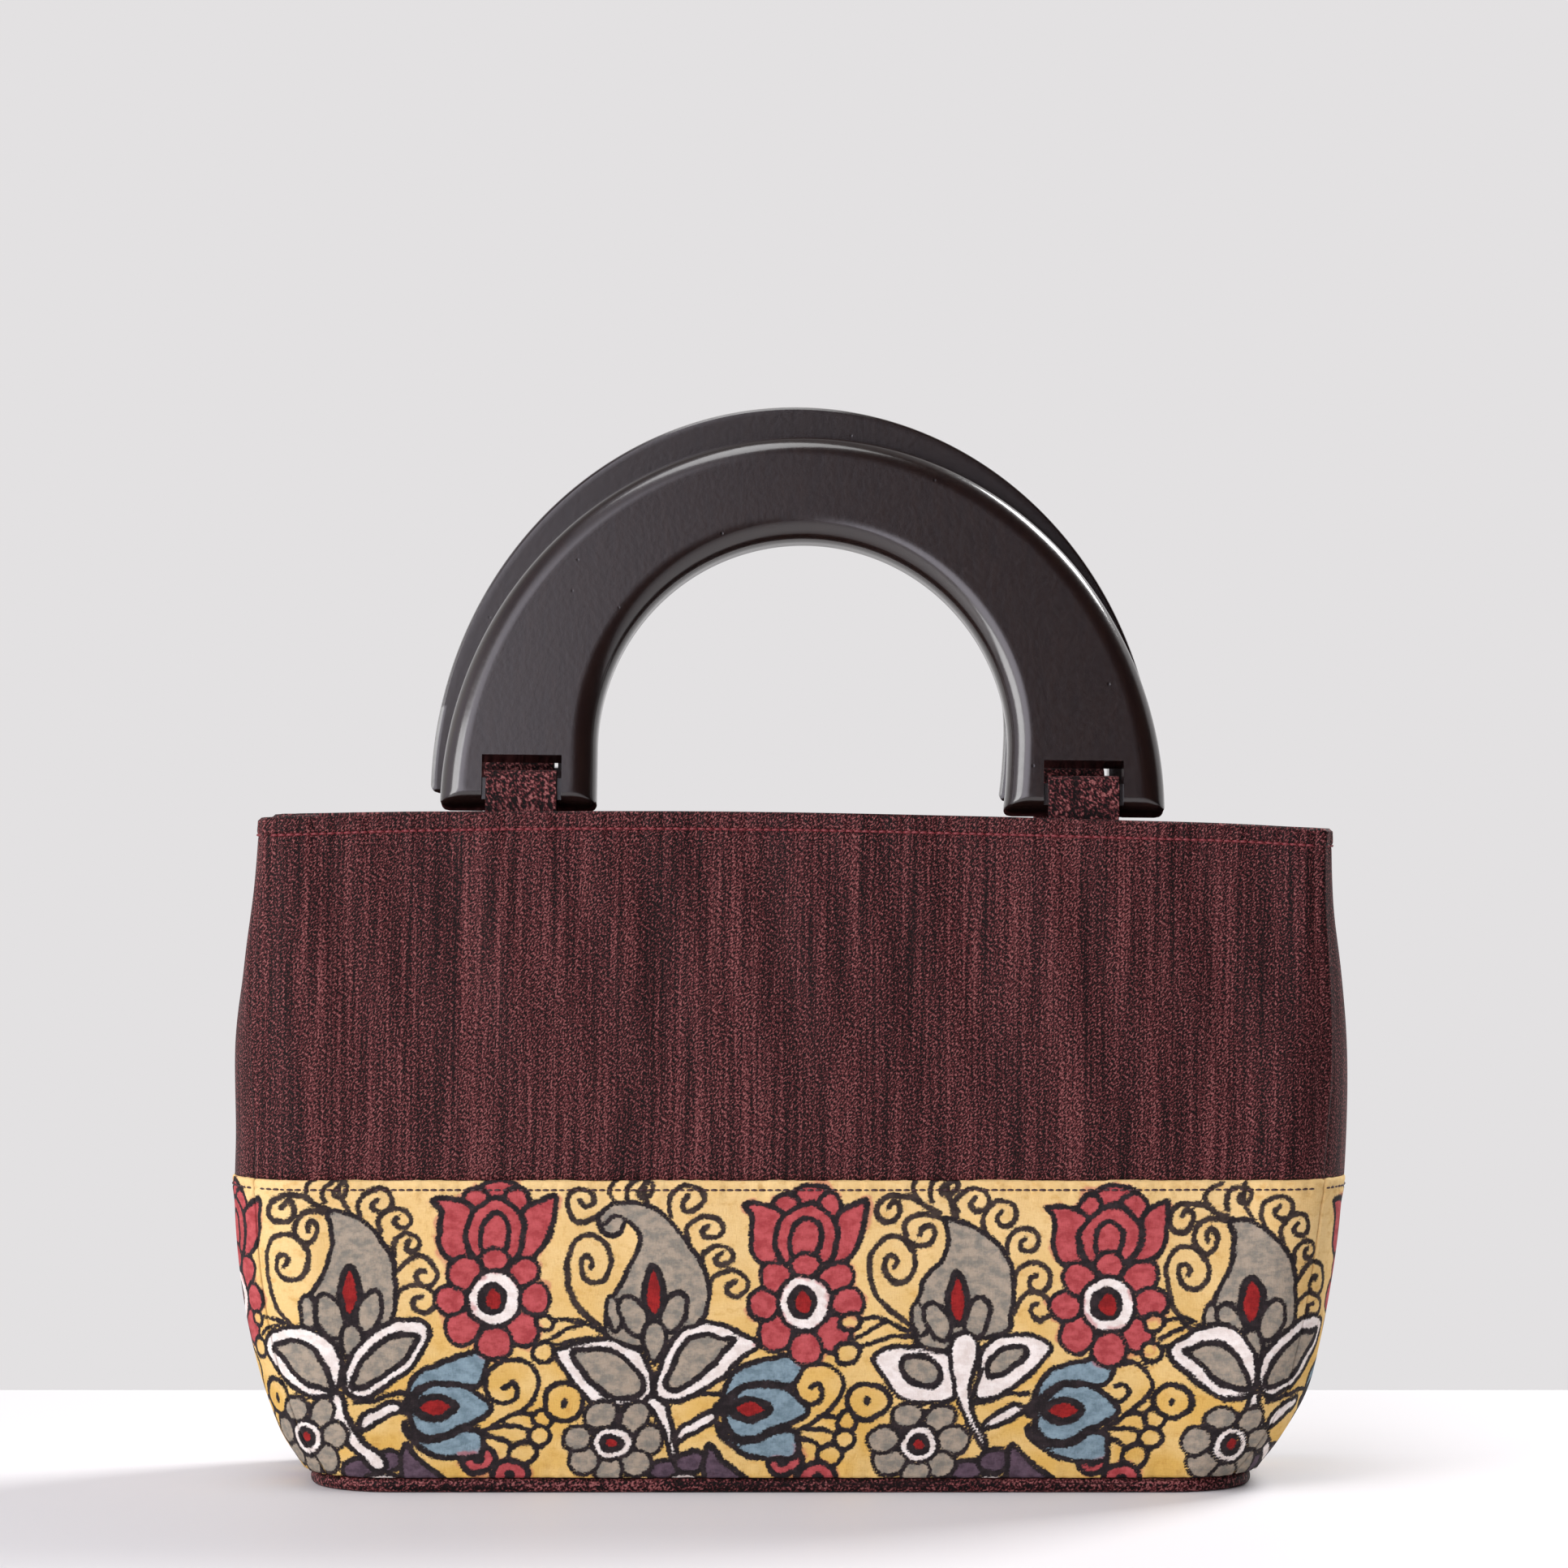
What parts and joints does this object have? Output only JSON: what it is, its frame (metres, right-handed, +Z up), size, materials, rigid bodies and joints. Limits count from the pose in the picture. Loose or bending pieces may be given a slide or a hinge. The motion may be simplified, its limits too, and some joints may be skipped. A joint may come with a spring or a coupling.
{
  "type": "silk handbag",
  "caption": "Open-topped silk handbag with a flower-printed lower band, a stiff base and arched dark wood handles hung on silk straps.",
  "frame": {"origin": "on the floor under the middle of the bag", "axes": "+X to the right seen from the front, the front faces -Y, +Z up"},
  "size_m": [0.3057, 0.0806, 0.2966],
  "materials": {
    "maroon_silk": "raw slubbed silk, low sheen",
    "printed_cotton": "hand-coloured cloth, matt",
    "dark_wood": "dark brown-black, satin lacquer"
  },
  "bodies": {
    "root": {"front_silk_panel": "maroon_silk", "back_silk_panel": "maroon_silk", "left_gusset_silk": "maroon_silk", "right_gusset_silk": "maroon_silk", "front_printed_band": "printed_cotton", "back_printed_band": "printed_cotton", "left_gusset_band": "printed_cotton", "right_gusset_band": "printed_cotton", "base_panel": "maroon_silk", "front_handle": "dark_wood", "back_handle": "dark_wood", "front_left_strap": "maroon_silk", "front_right_strap": "maroon_silk", "back_left_strap": "maroon_silk", "back_right_strap": "maroon_silk"}
  },
  "joints": []
}
